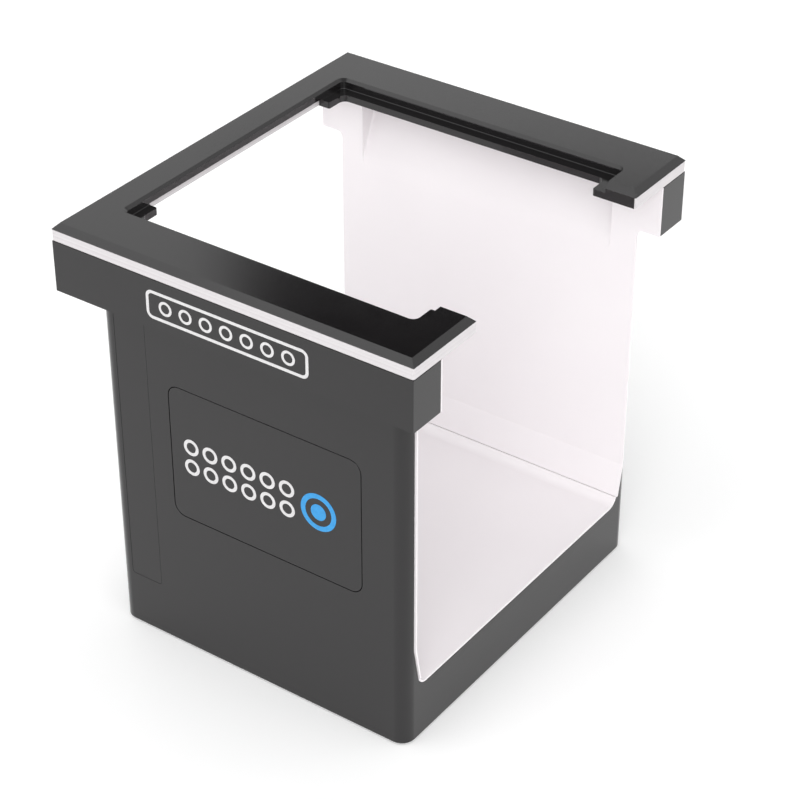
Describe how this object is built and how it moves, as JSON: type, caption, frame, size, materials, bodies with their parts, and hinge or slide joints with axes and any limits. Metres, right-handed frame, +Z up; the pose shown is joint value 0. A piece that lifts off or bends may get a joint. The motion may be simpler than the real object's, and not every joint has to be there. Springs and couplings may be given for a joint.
{
  "type": "cryobox reader station housing",
  "caption": "Open-sided table-top station for a laboratory cryobox: white-lined tunnel between two dark walls under a stepped, three-sided top frame.",
  "frame": {"origin": "centre of the footprint, on the table surface under the feet", "axes": "+Z up, X along the face with the badge plate, the top frame's open end at +X, the badge face at -Y"},
  "size_m": [0.168, 0.1876, 0.1908],
  "materials": {
    "dark_shell": "charcoal moulded plastic, fine spark-eroded grain, satin sheen",
    "white_trim": "white plate, satin, faint layer lines on its edge",
    "white_liner": "smooth white formed sheet, satin",
    "foot_rubber": "matt black rubber",
    "screw_steel": "bright zinc-plated steel",
    "circuit_board": "green solder resist on glass-epoxy",
    "tinned_steel": "tinned sheet steel",
    "black_plastic": "black moulded plastic",
    "cable_jacket": "black cable jacket"
  },
  "bodies": {
    "root": {"antenna_back": "circuit_board", "antenna_front": "circuit_board", "badge_plate": "dark_shell", "base_plate": "dark_shell", "base_screw_1": "screw_steel", "base_screw_2": "screw_steel", "base_screw_3": "screw_steel", "base_screw_4": "screw_steel", "board_screw_1": "screw_steel", "board_screw_2": "screw_steel", "board_screw_3": "screw_steel", "board_screw_4": "screw_steel", "cap_frame": "dark_shell", "cap_screw_1": "screw_steel", "cap_screw_2": "screw_steel", "cap_screw_3": "screw_steel", "cap_screw_4": "screw_steel", "data_socket": "tinned_steel", "flange_plate": "white_trim", "floor_tray": "white_liner", "foot_1": "foot_rubber", "foot_2": "foot_rubber", "foot_3": "foot_rubber", "foot_4": "foot_rubber", "lead_back": "cable_jacket", "lead_front": "cable_jacket", "liner_back": "white_liner", "liner_front": "white_liner", "outer_shell": "dark_shell", "plate_screw_1": "screw_steel", "plate_screw_2": "screw_steel", "plate_screw_3": "screw_steel", "plate_screw_4": "screw_steel", "power_socket": "black_plastic", "reader_board": "circuit_board", "rf_shield": "tinned_steel", "service_cover": "dark_shell", "skirt_back": "dark_shell", "skirt_front": "dark_shell", "standoff_1": "screw_steel", "standoff_2": "screw_steel", "standoff_3": "screw_steel", "standoff_4": "screw_steel"}
  },
  "joints": []
}
